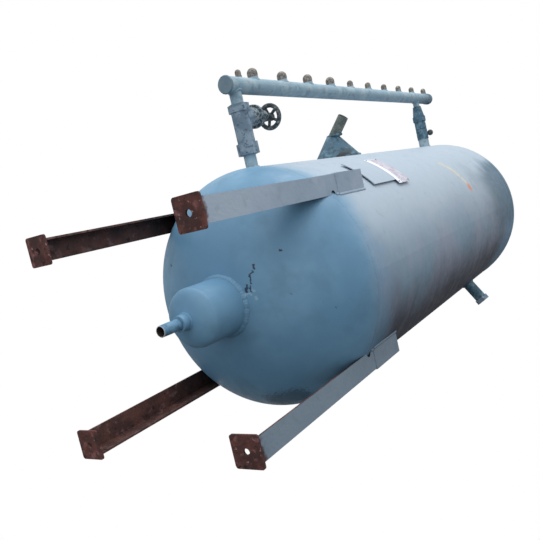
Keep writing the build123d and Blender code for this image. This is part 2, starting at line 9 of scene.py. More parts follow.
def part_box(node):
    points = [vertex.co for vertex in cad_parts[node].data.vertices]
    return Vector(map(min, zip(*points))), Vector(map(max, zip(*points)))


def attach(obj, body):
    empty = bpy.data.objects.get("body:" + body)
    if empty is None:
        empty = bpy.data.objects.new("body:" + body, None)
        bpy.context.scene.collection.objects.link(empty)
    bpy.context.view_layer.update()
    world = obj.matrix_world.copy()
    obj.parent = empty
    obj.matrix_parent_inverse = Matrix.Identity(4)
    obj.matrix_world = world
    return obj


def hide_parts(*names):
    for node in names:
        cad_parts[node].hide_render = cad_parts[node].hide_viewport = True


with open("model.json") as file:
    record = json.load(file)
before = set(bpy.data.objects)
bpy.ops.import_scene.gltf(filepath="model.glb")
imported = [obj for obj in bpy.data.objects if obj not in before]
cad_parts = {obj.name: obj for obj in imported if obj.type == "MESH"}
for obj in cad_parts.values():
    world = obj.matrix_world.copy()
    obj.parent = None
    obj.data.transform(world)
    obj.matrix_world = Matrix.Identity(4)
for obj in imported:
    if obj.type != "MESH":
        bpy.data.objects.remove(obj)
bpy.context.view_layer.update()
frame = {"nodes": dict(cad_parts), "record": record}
NODES = frame["nodes"]
SLOTS = {part["node"]: part["material_slot"] for part in frame["record"]["subparts"]}

# ---------------------------------------------------------------- sizes from the frame

def middle(node):
    low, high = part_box(node)
    return (low + high) / 2


def half_width(node):
    low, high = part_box(node)
    return (high.x - low.x) / 2


UP = Vector((0, 0, 1))
OUTWARD = Vector((0, -1, 0))
SHELL_LOW, SHELL_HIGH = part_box("shell")
SHELL_R = SHELL_HIGH.x
LOW_SEAM = SHELL_LOW.z
HIGH_SEAM = SHELL_HIGH.z
HEAD_DEPTH = 0.25
HEAD_FLANGE = 0.015
POT_CAP_DEPTH = 0.040
HEADER_LOW, HEADER_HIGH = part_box("header_pipe")
HEADER_R = HEADER_HIGH.x
HEADER_Y = (HEADER_LOW.y + HEADER_HIGH.y) / 2
DRAIN_LOW, DRAIN_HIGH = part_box("drain_nipple")
DRAIN_R = DRAIN_HIGH.x
DRAIN_WALL = 0.0034
DRAIN_BORE = DRAIN_R - DRAIN_WALL
THREAD_LENGTH = 0.022
THREAD_PITCH = 0.0022
THREAD_DEPTH = 0.0011
THREAD_CHAMFER = 0.0012
NECK_TOP = Vector((middle("inlet_neck").x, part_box("inlet_neck")[0].y, middle("inlet_neck").z))
INLET_LEAN = radians(42)
INLET_ROOT_DEPTH = 0.012
PLATE_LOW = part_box("nameplate")[0]
BONNET_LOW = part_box("valve_bonnet")[0]


# ---------------------------------------------------------------- camera, floor and light

CAMERA_PLACE = Vector((1.1856, -0.2438, -1.0358))
CAMERA_AIM = Vector((-0.2985, -0.0038, 1.0855))
CAMERA_ROLL = radians(13.1)
CAMERA_LENS = 40.86
FLOOR_SIZE = 60.0
PALE = (1, 1, 1, 1)
SKY_DIRECTION = Vector((0.12, -0.95, 0.05)).normalized()
SKY_DIM = 0.07
SKY_BRIGHT = 1.14


def make_camera():
    """The vessel's -Y side is at the top of the picture, as if it lay on its side."""
    forward = (CAMERA_AIM - CAMERA_PLACE).normalized()
    level = forward.cross(OUTWARD).normalized()
    upright = level.cross(forward)
    right = level * cos(CAMERA_ROLL) - upright * sin(CAMERA_ROLL)
    top = right.cross(forward)
    camera = bpy.data.objects.new("camera", bpy.data.cameras.new("camera"))
    camera.data.lens = CAMERA_LENS
    turn = Matrix((right, top, -forward)).transposed().to_4x4()
    camera.matrix_world = Matrix.Translation(CAMERA_PLACE) @ turn
    bpy.context.scene.collection.objects.link(camera)
    bpy.context.scene.camera = camera


def make_light(name, place, aim, size, watts, colour=(1, 1, 1)):
    light = bpy.data.lights.new(name, "AREA")
    light.size = size
    light.energy = watts
    light.color = colour
    lamp = bpy.data.objects.new(name, light)
    lamp.location = place
    lamp.rotation_euler = (Vector(aim) - Vector(place)).to_track_quat("-Z", "Y").to_euler()
    bpy.context.scene.collection.objects.link(lamp)


def make_world():
    """Pale all round to the eye, while the light comes mostly from the header's side and above."""
    world = bpy.data.worlds.new("studio")
    bpy.context.scene.world = world
    world.use_nodes = True
    tree = world.node_tree
    tree.nodes.clear()
    direction = tree.nodes.new("ShaderNodeTexCoord")
    towards = tree.nodes.new("ShaderNodeVectorMath")
    towards.operation = "DOT_PRODUCT"
    towards.inputs[1].default_value = SKY_DIRECTION
    tree.links.new(direction.outputs["Generated"], towards.inputs[0])
    brightness = tree.nodes.new("ShaderNodeMapRange")
    brightness.interpolation_type = "SMOOTHSTEP"
    limits = {"From Min": -0.75, "From Max": 0.95, "To Min": SKY_DIM, "To Max": SKY_BRIGHT}
    for name, value in limits.items():
        brightness.inputs[name].default_value = value
    tree.links.new(towards.outputs["Value"], brightness.inputs["Value"])
    lit = tree.nodes.new("ShaderNodeBackground")
    lit.inputs["Color"].default_value = (0.93, 0.97, 1.0, 1)
    tree.links.new(brightness.outputs["Result"], lit.inputs["Strength"])
    seen = tree.nodes.new("ShaderNodeBackground")
    seen.inputs["Color"].default_value = PALE
    choice = tree.nodes.new("ShaderNodeMixShader")
    ray = tree.nodes.new("ShaderNodeLightPath")
    tree.links.new(ray.outputs["Is Camera Ray"], choice.inputs["Fac"])
    tree.links.new(lit.outputs[0], choice.inputs[1])
    tree.links.new(seen.outputs[0], choice.inputs[2])
    output = tree.nodes.new("ShaderNodeOutputWorld")
    tree.links.new(choice.outputs[0], output.inputs["Surface"])


def make_floor():
    """Seen only from above, so that the camera under the feet looks through it."""
    half = FLOOR_SIZE / 2
    mesh = bpy.data.meshes.new("floor")
    corners = [(-half, -half, 0), (half, -half, 0), (half, half, 0), (-half, half, 0)]
    mesh.from_pydata(corners, [], [(0, 1, 2, 3)])
    floor = bpy.data.objects.new("floor", mesh)
    bpy.context.scene.collection.objects.link(floor)
    floor.visible_diffuse = False
    floor.visible_glossy = False
    floor.visible_shadow = False
    graph = Graph("floor")
    graph.shader.inputs["Base Color"].default_value = (0.78, 0.78, 0.78, 1)
    graph.shader.inputs["Roughness"].default_value = 0.9
    below = graph.node("ShaderNodeNewGeometry").outputs["Backfacing"]
    clear = graph.node("ShaderNodeBsdfTransparent").outputs[0]
    choice = graph.node("ShaderNodeMixShader", {0: below, 1: graph.shader.outputs[0], 2: clear})
    output = graph.tree.nodes["Material Output"]
    graph.tree.links.new(choice.outputs[0], output.inputs["Surface"])
    mesh.materials.append(graph.material)


# ---------------------------------------------------------------- material kit

def colour(red, green, blue):
    """Linear colour from 8-bit screen values."""
    def linear(value):
        share = value / 255
        return share / 12.92 if share <= 0.04045 else ((share + 0.055) / 1.055) ** 2.4
    return (linear(red), linear(green), linear(blue), 1)


class Graph:
    """One material's nodes. Places are in metres in the part's own frame."""

    def __init__(self, name):
        self.material = bpy.data.materials.new(name)
        self.material.use_nodes = True
        self.tree = self.material.node_tree
        self.shader = self.tree.nodes["Principled BSDF"]
        coordinates = self.node("ShaderNodeTexCoord")
        self.place = coordinates.outputs["Object"]
        self.facing = coordinates.outputs["Normal"]
        self.x, self.y, self.z = self.split(self.place)

    def node(self, kind, inputs=None, **settings):
        made = self.tree.nodes.new(kind)
        for key, value in settings.items():
            setattr(made, key, value)
        for key, value in (inputs or {}).items():
            self.put(made.inputs[key], value)
        return made

    def put(self, socket, value):
        if isinstance(value, bpy.types.NodeSocket):
            self.tree.links.new(value, socket)
        else:
            socket.default_value = value

    def split(self, vector):
        return self.node("ShaderNodeSeparateXYZ", {0: vector}).outputs

    def math(self, operation, *values):
        inputs = dict(enumerate(values))
        return self.node("ShaderNodeMath", inputs, operation=operation).outputs[0]

    def vector_math(self, operation, inputs):
        return self.node("ShaderNodeVectorMath", inputs, operation=operation)

    def plus(self, a, b):
        return self.math("ADD", a, b)

    def times(self, a, b):
        return self.math("MULTIPLY", a, b)

    def most(self, a, b):
        return self.math("MAXIMUM", a, b)

    def noise(self, scale, detail=4.0, roughness=0.55, stretch=(1, 1, 1), shift=0.0):
        """About 0.5 on average, from roughly 0.25 to 0.75."""
        mapping = {"Vector": self.place, "Scale": stretch, "Location": (shift,) * 3}
        moved = self.node("ShaderNodeMapping", mapping)
        inputs = {"Vector": moved.outputs[0], "Scale": scale, "Detail": detail, "Roughness": roughness}
        return self.node("ShaderNodeTexNoise", inputs).outputs["Fac"]

    def step(self, value, low, high):
        """0 below low, 1 above high, smooth between; low may be the larger one."""
        inputs = {"Value": value, "From Min": low, "From Max": high}
        return self.node("ShaderNodeMapRange", inputs, interpolation_type="SMOOTHSTEP").outputs["Result"]

    def mix(self, share, a, b):
        made = self.node("ShaderNodeMix", {0: share, 6: a, 7: b}, data_type="RGBA")
        return made.outputs[2]

    def blotches(self, scale, low, high, under, over, **noise):
        """One tone with ragged blotches of another, where the noise lies above low to high."""
        return self.mix(self.step(self.noise(scale, **noise), low, high), under, over)

    def spots(self, scale, size, shift=0.0):
        """1 inside scattered irregular spots; size is from 0 to 1."""
        grain = self.noise(scale, detail=5, roughness=0.6, shift=shift)
        return self.step(grain, 0.74 - 0.2 * size, 0.77 - 0.2 * size)

    def stroke(self, start, end, wide, ragged=0.0):
        """1 along a straight scratch between two places; wide is half its width."""
        along = Vector(end) - Vector(start)
        relative = self.vector_math("SUBTRACT", {0: self.place, 1: Vector(start)})
        travelled = self.vector_math("DOT_PRODUCT", {0: relative.outputs[0], 1: along})
        share = self.math("DIVIDE", travelled.outputs["Value"], along.length_squared)
        held = self.math("MINIMUM", self.most(share, 0.0), 1.0)
        foot = self.vector_math("SCALE", {0: along, "Scale": held})
        off = self.vector_math("DISTANCE", {0: relative.outputs[0], 1: foot.outputs[0]})
        rough = self.times(self.plus(self.noise(130, detail=3), -0.5), ragged)
        return self.step(self.plus(off.outputs["Value"], rough), wide, wide * 0.6)

    def surface(self, tone, rough_low, rough_high, height, depth):
        """Connects colour, uneven roughness and relief; depth is in metres."""
        self.put(self.shader.inputs["Base Color"], tone)
        grain = self.noise(35, shift=7.7)
        spread = self.node("ShaderNodeMapRange", {"Value": grain, "From Min": 0.3, "From Max": 0.7,
                                                  "To Min": rough_low, "To Max": rough_high})
        self.put(self.shader.inputs["Roughness"], spread.outputs["Result"])
        bump = self.node("ShaderNodeBump", {"Height": height, "Distance": depth, "Strength": 1.0})
        self.put(self.shader.inputs["Normal"], bump.outputs[0])
        return self.material


# ---------------------------------------------------------------- paints

def shell_tone(graph):
    """Chalky and pale on the header's side, sooty on the side away from it; both partly painted light and
    shade, paler towards the key light and darker on the side away from it.
    """
    ragged = graph.plus(graph.y, graph.times(graph.plus(graph.noise(3.5), -0.5), 0.22))
    # partly faded paint, partly painted light: paler on the -Y side, towards the key light
    bleached_and_lit = graph.step(ragged, 0.11, -0.22)
    # partly soot, partly painted shade: darker on the +Y side, away from the key light
    shaded_side = graph.step(ragged, 0.03, 0.26)
    tone = graph.blotches(2.2, 0.42, 0.6, colour(137, 147, 167), colour(124, 150, 170), shift=3)
    tone = graph.mix(bleached_and_lit, tone, colour(172, 186, 199))
    tone = graph.mix(graph.times(shaded_side, 0.92), tone, colour(44, 42, 57))
    # pale bands round the shell: partly paint streaks, partly painted highlight streaks
    streaks_and_sheen = graph.step(graph.noise(1.4, stretch=(1, 1, 14), shift=5), 0.45, 0.68)
    tone = graph.mix(graph.times(streaks_and_sheen, 0.11), tone, colour(172, 172, 188))
    return graph.mix(graph.times(graph.spots(18, 0.55), 0.14), tone, colour(104, 120, 136))


def head_tone(graph):
    tone = graph.mix(graph.step(graph.noise(3.1), 0.38, 0.62), colour(100, 144, 176), colour(116, 160, 190))
    tone = graph.mix(graph.times(graph.step(graph.noise(12, detail=6, shift=2), 0.48, 0.7), 0.35),
                     tone, colour(88, 128, 152))
    return graph.mix(graph.spots(38, 0.1, shift=4), tone, colour(44, 58, 74))


def seam_height(graph):
    """The vessel's height, ragged by several centimetres."""
    return graph.plus(graph.z, graph.times(graph.plus(graph.noise(6, detail=5), -0.5), 0.22))


def head_share(graph):
    """1 on the heads, 0 on the shell, fading across the seams."""
    height = seam_height(graph)
    side = graph.plus(graph.y, graph.times(graph.plus(graph.noise(4, detail=5, shift=9), -0.5), 0.4))
    high = graph.step(height, HIGH_SEAM - 0.36, HIGH_SEAM + 0.02)
    high = graph.times(high, graph.step(side, -0.32, -0.14))
    return graph.most(graph.step(height, LOW_SEAM + 0.17, LOW_SEAM - 0.08), graph.times(high, 0.8))


def vessel_tone(graph):
    """The shell's paint and the heads', with a dark teal patch of painted shade on the side of the far end.
    """
    tone = graph.mix(head_share(graph), shell_tone(graph), head_tone(graph))
    # painted shade: a darker teal patch on the far end's side, between the -Y and +Y sides
    ragged = graph.plus(graph.y, graph.times(graph.plus(graph.noise(4, detail=5, shift=9), -0.5), 0.3))
    patch = graph.times(graph.step(ragged, -0.30, -0.18), graph.step(ragged, 0.16, 0.02))
    patch = graph.times(patch, graph.step(seam_height(graph), HIGH_SEAM - 0.62, HIGH_SEAM - 0.22))
    return graph.mix(graph.times(patch, 0.75), tone, colour(66, 94, 112))


def plate_relief(graph):
    fine = graph.times(graph.noise(160, detail=2), 0.25)
    return graph.plus(fine, graph.noise(9, detail=3, shift=6))


def shell_paint():
    graph = Graph("shell_paint")
    tone = vessel_tone(graph)
    chalk, blob = chalk_mark(graph)
    tone = graph.mix(graph.times(chalk, 0.62), tone, colour(228, 208, 158))
    tone = graph.mix(graph.times(blob, 0.85), tone, colour(214, 124, 84))
    smear = graph.stroke((0.0, -0.4, 2.385), (0.05, -0.397, 2.40), 0.026, ragged=0.10)
    tone = graph.mix(graph.times(smear, 0.45), tone, colour(218, 204, 212))
    return graph.surface(tone, 0.42, 0.62, plate_relief(graph), 0.0012)


def chalk_mark(graph):
    """A short curved stroke near the far end, and the blob where it ends."""
    azimuth = graph.math("ARCTAN2", graph.y, graph.x)
    across = graph.times(azimuth, SHELL_R)
    centre_across = -0.1
    centre_z = 1.5
    stroke_r = 0.34
    end_across = -0.15
    end_z = centre_z + sqrt(stroke_r ** 2 - (end_across - centre_across) ** 2)

    def reach(from_across, from_z):
        square = graph.plus(graph.math("POWER", graph.plus(across, -from_across), 2.0),
                            graph.math("POWER", graph.plus(graph.z, -from_z), 2.0))
        return graph.math("POWER", square, 0.5)

    off = graph.math("ABSOLUTE", graph.plus(reach(centre_across, centre_z), -stroke_r))
    smudge = graph.step(graph.plus(off, graph.times(graph.noise(40), 0.01)), 0.030, 0.008)
    stretch = graph.times(graph.step(across, -0.33, -0.31), graph.step(across, -0.135, -0.145))
    upper = graph.step(graph.z, centre_z + 0.05, centre_z + 0.1)
    worn = graph.step(graph.noise(60), 0.36, 0.56)
    chalk = graph.times(graph.times(smudge, stretch), graph.times(upper, worn))
    from_end = graph.plus(reach(end_across, end_z), graph.times(graph.noise(50), 0.02))
    blob = graph.step(from_end, 0.040, 0.018)
    return chalk, blob


HEAD_CRACK = ((0.135, -0.105), (0.135, -0.090), (0.120, -0.080), (0.120, -0.055))
POT_CRACK = ((0.020, 0.010), (0.025, 0.015), (0.025, 0.035))
HEAD_NICKS = (((0.105, -0.050), (0.100, -0.035), 0.006), ((0.115, -0.045), (0.115, -0.030), 0.0035),
              ((-0.220, -0.150), (-0.215, -0.145), 0.004), ((0.215, -0.130), (0.220, -0.130), 0.003))
HEAD_CHIPS = ((0.120, -0.035), (0.095, -0.025), (0.125, -0.010), (0.110, -0.025))


def under_head(place):
    """The bottom head's outer face at a place given as x and y."""
    share = sqrt(1 - (place[0] ** 2 + place[1] ** 2) / SHELL_R ** 2)
    return Vector((place[0], place[1], LOW_SEAM - HEAD_FLANGE - HEAD_DEPTH * share))


def under_pot(place):
    """The drain pot's domed end at a place given as x and y."""
    share = sqrt(1 - (place[0] ** 2 + place[1] ** 2) / half_width("drain_pot") ** 2)
    return Vector((place[0], place[1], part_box("drain_pot")[0].z + POT_CAP_DEPTH * (1 - share)))


def scratches():
    """Start, end and half width of each dark scratch."""
    cracks = [(under_head(a), under_head(b), 0.0035) for a, b in zip(HEAD_CRACK, HEAD_CRACK[1:])]
    cracks += [(under_pot(a), under_pot(b), 0.003) for a, b in zip(POT_CRACK, POT_CRACK[1:])]
    return cracks + [(under_head(a), under_head(b), scratch) for a, b, scratch in HEAD_NICKS]


def head_paint():
    graph = Graph("head_paint")
    tone = vessel_tone(graph)
    dark = graph.spots(38, 0.0, shift=11)
    for start, end, scratch in scratches():
        dark = graph.most(dark, graph.stroke(start, end, scratch, ragged=0.018))
    tone = graph.mix(graph.times(dark, 0.9), tone, colour(28, 40, 62))
    for place in HEAD_CHIPS:
        start = under_head(place)
        chip = graph.stroke(start, start + Vector((0.004, 0.003, 0)), 0.005, ragged=0.02)
        tone = graph.mix(graph.times(chip, 0.5), tone, colour(168, 198, 214))
    # painted shadow: a dark smudge on the head's +Y rim, where a leg's shadow falls
    painted_shadow = graph.stroke((0.03, 0.335, 0.50), (0.11, 0.33, 0.50), 0.05, ragged=0.1)
    tone = graph.mix(graph.times(painted_shadow, 0.5), tone, colour(46, 54, 66))
    return graph.surface(tone, 0.38, 0.56, plate_relief(graph), 0.001)


def weathered(name, main, pale, dark, patch=14.0, pale_share=0.5, dark_share=0.5,
              rough=(0.45, 0.7), depth=0.0008):
    """Old paint: a main tone with worn pale patches and dirty dark ones."""
    graph = Graph(name)
    tone = graph.mix(graph.step(graph.noise(patch, detail=6, roughness=0.62), 0.5, 0.62), main, pale)
    tone = graph.mix(pale_share, main, tone)
    dirt = graph.step(graph.noise(patch * 2.3, detail=6, roughness=0.65, shift=9), 0.5, 0.6)
    tone = graph.mix(graph.times(dirt, dark_share), tone, dark)
    relief = graph.plus(graph.noise(patch * 7, detail=3), graph.times(dirt, -0.3))
    return graph.surface(tone, rough[0], rough[1], relief, depth)


def header_paint():
    """Faded along the pipe, darker and dirtier at both ends."""
    graph = Graph("header_paint")
    tone = graph.blotches(18, 0.46, 0.62, colour(140, 168, 184), colour(160, 182, 192), detail=6)
    dirt = graph.step(graph.noise(40, detail=6, shift=9), 0.52, 0.64)
    tone = graph.mix(graph.times(dirt, 0.35), tone, colour(84, 104, 116))
    ends = graph.most(graph.step(graph.z, HEADER_LOW.z + 0.004, HEADER_LOW.z - 0.001),
                      graph.step(graph.z, HEADER_HIGH.z - 0.25, HEADER_HIGH.z))
    away = graph.step(graph.y, HEADER_Y - HEADER_R - 0.01, HEADER_Y - HEADER_R - 0.002)
    tone = graph.mix(graph.times(graph.times(ends, away), 0.6), tone, colour(78, 100, 114))
    relief = graph.plus(graph.noise(120, detail=3), graph.times(dirt, -0.3))
    return graph.surface(tone, 0.45, 0.7, relief, 0.0006)


def valve_paint():
    """Thick paint on castings: pale on the body, dark and gritty round the bonnet."""
    graph = Graph("valve_paint")
    tone = graph.blotches(26, 0.44, 0.6, colour(104, 126, 144), colour(136, 156, 172), detail=6)
    dirt = graph.step(graph.noise(70, detail=6, roughness=0.65, shift=9), 0.55, 0.62)
    tone = graph.mix(graph.times(dirt, 0.65), tone, colour(42, 52, 60))
    bonnet = graph.times(graph.step(graph.z, BONNET_LOW.z - 0.045, BONNET_LOW.z - 0.025),
                         graph.step(graph.z, 1.2, 1.1))
    grit = graph.mix(graph.step(graph.noise(95, detail=5, roughness=0.6, shift=3), 0.44, 0.56),
                     colour(30, 36, 40), colour(142, 156, 162))
    tone = graph.mix(graph.times(bonnet, 0.85), tone, grit)
    relief = graph.plus(graph.noise(110, detail=4, roughness=0.6), graph.times(dirt, -0.4))
    return graph.surface(tone, 0.45, 0.7, relief, 0.0012)


def teal_paint():
    """The inlet, side socket, union and ball valve: worn, with near-black patches on the lower side of the
    inlet's foot.
    """
    graph = Graph("teal_paint")
    tone = graph.mix(graph.step(graph.noise(26, detail=6, roughness=0.62), 0.5, 0.62), colour(72, 108, 128),
                     colour(104, 138, 156))
    dirt = graph.step(graph.noise(60, detail=6, roughness=0.65, shift=9), 0.5, 0.6)
    tone = graph.mix(graph.times(dirt, 0.55), tone, colour(38, 50, 58))
    foot = graph.times(graph.step(graph.y, NECK_TOP.y - 0.045, NECK_TOP.y - 0.01),
                       graph.step(graph.z, NECK_TOP.z + 0.02, NECK_TOP.z - 0.03))
    # near-black patches on the lower side of the inlet's foot
    black_patches = graph.times(foot, graph.step(graph.noise(22, detail=5, shift=2), 0.46, 0.54))
    tone = graph.mix(graph.times(black_patches, 0.9), tone, colour(22, 28, 32))
    relief = graph.plus(graph.noise(150, detail=3), graph.times(dirt, -0.3))
    return graph.surface(tone, 0.45, 0.7, relief, 0.0008)


def plate_white():
    """Enamel: bright along its lower edge, faded and pinkish above it."""
    graph = Graph("plate_white")
    tone = graph.blotches(45, 0.42, 0.6, colour(206, 206, 218), colour(190, 176, 190), detail=4)
    marks = graph.step(graph.noise(130, detail=4, stretch=(1, 1, 0.5), shift=4), 0.56, 0.62)
    tone = graph.mix(graph.times(marks, 0.45), tone, colour(126, 118, 136))
    edge = graph.step(graph.z, PLATE_LOW.z + 0.030, PLATE_LOW.z + 0.022)
    tone = graph.mix(edge, tone, colour(240, 241, 248))
    return graph.surface(tone, 0.3, 0.5, graph.noise(200), 0.0003)


def rust_tone(graph, light, main, dark):
    tone = graph.mix(graph.step(graph.noise(16, detail=6), 0.4, 0.62), dark, main)
    flakes = graph.step(graph.noise(34, detail=6, shift=3), 0.54, 0.66)
    tone = graph.mix(graph.times(flakes, 0.7), tone, light)
    return graph.mix(graph.step(graph.noise(55, detail=5, shift=8), 0.58, 0.68), tone, colour(36, 24, 24))


def rust():
    """Foot plates: red-brown with pale scuffs."""
    graph = Graph("rusty_steel")
    tone = rust_tone(graph, colour(140, 94, 92), colour(104, 60, 54), colour(68, 40, 36))
    scuffs = graph.step(graph.noise(70, detail=6, stretch=(1, 1, 2), shift=1), 0.62, 0.68)
    tone = graph.mix(graph.times(scuffs, 0.6), tone, colour(190, 152, 154))
    return graph.surface(tone, 0.7, 0.95, graph.noise(120, detail=5, roughness=0.7), 0.0012)


def leg_inside(graph):
    """1 on the faces that look towards the vessel's axis, 0 on the angle's outside."""
    normal_x, normal_y, _ = graph.split(graph.facing)
    along_x = graph.times(normal_x, graph.x)
    along_y = graph.times(normal_y, graph.y)
    return graph.step(graph.plus(along_x, along_y), 0.12, -0.02)


def leg_paint():
    graph = Graph("leg_paint")
    paint = graph.mix(graph.step(graph.noise(4), 0.4, 0.62), colour(148, 164, 182), colour(164, 178, 194))
    paint = graph.mix(graph.times(graph.step(graph.noise(26, detail=6, shift=4), 0.54, 0.68), 0.25),
                      paint, colour(112, 128, 142))
    # painted shade: the legs' paint darker towards +Y, the side away from the key light
    shaded_side = graph.step(graph.y, 0.0, 0.27)
    paint = graph.mix(graph.times(shaded_side, 0.6), paint, colour(96, 112, 124))
    ragged = graph.plus(graph.z, graph.times(graph.plus(graph.noise(40), -0.5), 0.06))
    foot_rust = graph.step(ragged, 0.032, 0.014)
    primer = rust_tone(graph, colour(128, 96, 92), colour(98, 62, 54), colour(70, 44, 40))
    # painted shade: the rusty insides turn near-black higher up, in the angle's corner towards the shell
    primer = graph.mix(graph.times(graph.step(ragged, 0.3, 0.6), 0.85), primer, colour(24, 20, 20))
    rusty = graph.most(graph.most(leg_inside(graph), foot_rust), graph.spots(45, 0.04, shift=2))
    tone = graph.mix(rusty, paint, primer)
    relief = graph.plus(graph.noise(110, detail=3), graph.times(rusty, -0.4))
    return graph.surface(tone, 0.5, 0.8, relief, 0.0008)


def drain_paint():
    """The drain's pipe: head paint, a bare ring at its mouth and a dark bore."""
    graph = Graph("drain_paint")
    square = graph.plus(graph.times(graph.x, graph.x), graph.times(graph.y, graph.y))
    from_axis = graph.math("POWER", square, 0.5)
    bore = graph.step(from_axis, DRAIN_BORE + 0.0009, DRAIN_BORE + 0.0003)
    mouth = graph.step(graph.z, DRAIN_LOW.z + 0.0022, DRAIN_LOW.z + 0.0008)
    dirt = graph.times(graph.step(graph.noise(70), 0.45, 0.6), 0.5)
    tone = graph.mix(dirt, head_tone(graph), colour(58, 78, 96))
    tone = graph.mix(graph.times(mouth, 0.8), tone, colour(176, 190, 200))
    tone = graph.mix(bore, tone, colour(46, 30, 24))
    return graph.surface(tone, 0.45, 0.65, graph.noise(200), 0.0004)


def metal(name, tone, dark, roughness, metallic=1.0, patch=40.0):
    graph = Graph(name)
    graph.shader.inputs["Metallic"].default_value = metallic
    shade = graph.mix(graph.step(graph.noise(patch, detail=5), 0.45, 0.62), tone, dark)
    return graph.surface(shade, roughness, roughness + 0.15, graph.noise(patch * 6), 0.0003)


MATERIALS = {
    "shell_paint": shell_paint(),
    "head_paint": head_paint(),
    "weld_paint": weathered("weld_paint", colour(118, 140, 160), colour(158, 172, 184), colour(70, 84, 98)),
    "header_paint": header_paint(),
    "teal_paint": teal_paint(),
    "valve_paint": valve_paint(),
    "leg_paint": leg_paint(),
    "rusty_steel": rust(),
    "pipe_steel": weathered("pipe_steel", colour(108, 118, 114), colour(142, 146, 138), colour(64, 66, 62),
                            patch=24, rough=(0.5, 0.7)),
    "galvanised": weathered("galvanised", colour(128, 122, 116), colour(178, 168, 160), colour(52, 50, 48),
                            patch=90, pale_share=0.7, dark_share=0.8, rough=(0.35, 0.6)),
    "brass": metal("brass", colour(176, 142, 78), colour(120, 92, 50), 0.3),
    "handwheel_iron": weathered("handwheel_iron", colour(60, 72, 78), colour(148, 160, 164),
                                colour(24, 30, 32), patch=80, pale_share=0.8, dark_share=0.75,
                                depth=0.0015),
    "chrome": metal("chrome", colour(210, 210, 212), colour(168, 168, 172), 0.12),
    "seal": metal("seal", colour(222, 220, 210), colour(196, 192, 180), 0.5, metallic=0.0),
    "plate_white": plate_white(),
}

for name, node in NODES.items():
    node.material_slots[0].material = MATERIALS[SLOTS[name]]


# ---------------------------------------------------------------- soft edges

SOFT_EDGES = {
    0.0004: ("handwheel_nut", "nameplate", "gauge_port_plug", "small_port_plugs", "ball_stem"),
    0.0008: ("large_port_plugs", "packing_nut", "header_screw_cap", "header_end_disc", "side_plug",
             "ball_knob", "inlet_pipe", "side_socket", "large_port_sockets", "small_port_sockets"),
    0.0015: ("valve_bonnet", "union_head", "union_nut", "union_tail", "inlet_reducer", "drain_coupling"),
    0.0012: ("leg_1", "leg_2", "leg_3", "leg_4", "leg_clip_1", "leg_clip_2", "leg_clip_3", "leg_clip_4",
             "foot_plate_1", "foot_plate_2", "foot_plate_3", "foot_plate_4"),
}


def soften(node, width):
    """Joins the mesh's split points and rounds its sharp edges; the part's size stays as it is."""
    weld = node.modifiers.new("weld", "WELD")
    weld.merge_threshold = 0.00001
    bevel = node.modifiers.new("bevel", "BEVEL")
    bevel.width = width
    bevel.segments = 2
    bevel.limit_method = "ANGLE"
    bevel.angle_limit = radians(35)
    bevel.use_clamp_overlap = True


for width, names in SOFT_EDGES.items():
    for name in names:
        soften(NODES[name], width)


# ---------------------------------------------------------------- weld beads

SECTION_POINTS = 10
WELD_RANDOM = Random(7)


def ring(centre, axis, radius, count=96):
    """Closed path round a point, and the direction away from the axis at each point."""
    axis = Vector(axis).normalized()
    first = axis.orthogonal().normalized()
    second = axis.cross(first)
    away = [first * cos(2 * pi * i / count) + second * sin(2 * pi * i / count) for i in range(count)]
    return [Vector(centre) + radius * a for a in away], away


def saddle(height, radius, barrel_r=SHELL_R, barrel_y=0.0, offset=0.0, azimuth=-90.0, count=96):
    """Where a round branch meets an upright barrel. The directions point out of the corner."""
    along = Vector((cos(radians(azimuth)), sin(radians(azimuth)), 0))
    side = along.cross(UP)
    points = []
    away = []
    for i in range(count):
        angle = 2 * pi * i / count
        lateral = offset + radius * cos(angle)
        reach = sqrt(barrel_r ** 2 - lateral ** 2)
        points.append(Vector((0, barrel_y, height + radius * sin(angle))) + side * lateral + along * reach)
        surface = (side * lateral + along * reach) / barrel_r
        away.append((surface + side * cos(angle) + UP * sin(angle)).normalized())
    return points, away


def line(start, end, facing):
    """Open straight path."""
    start = Vector(start)
    end = Vector(end)
    count = max(8, int((end - start).length / 0.002))
    points = [start.lerp(end, i / count) for i in range(count + 1)]
    return points, [Vector(facing).normalized()] * (count + 1)


def resample(points, away, closed, spacing):
    """The same path with points about spacing apart."""
    loop = points + points[:1] if closed else points
    facing = away + away[:1] if closed else away
    found = []
    for i in range(len(loop) - 1):
        length = (loop[i + 1] - loop[i]).length
        parts = max(1, round(length / spacing))
        for k in range(parts):
            share = k / parts
            turned = facing[i].lerp(facing[i + 1], share).normalized()
            found.append((loop[i].lerp(loop[i + 1], share), turned))
    if not closed:
        found.append((loop[-1], facing[-1]))
    return found


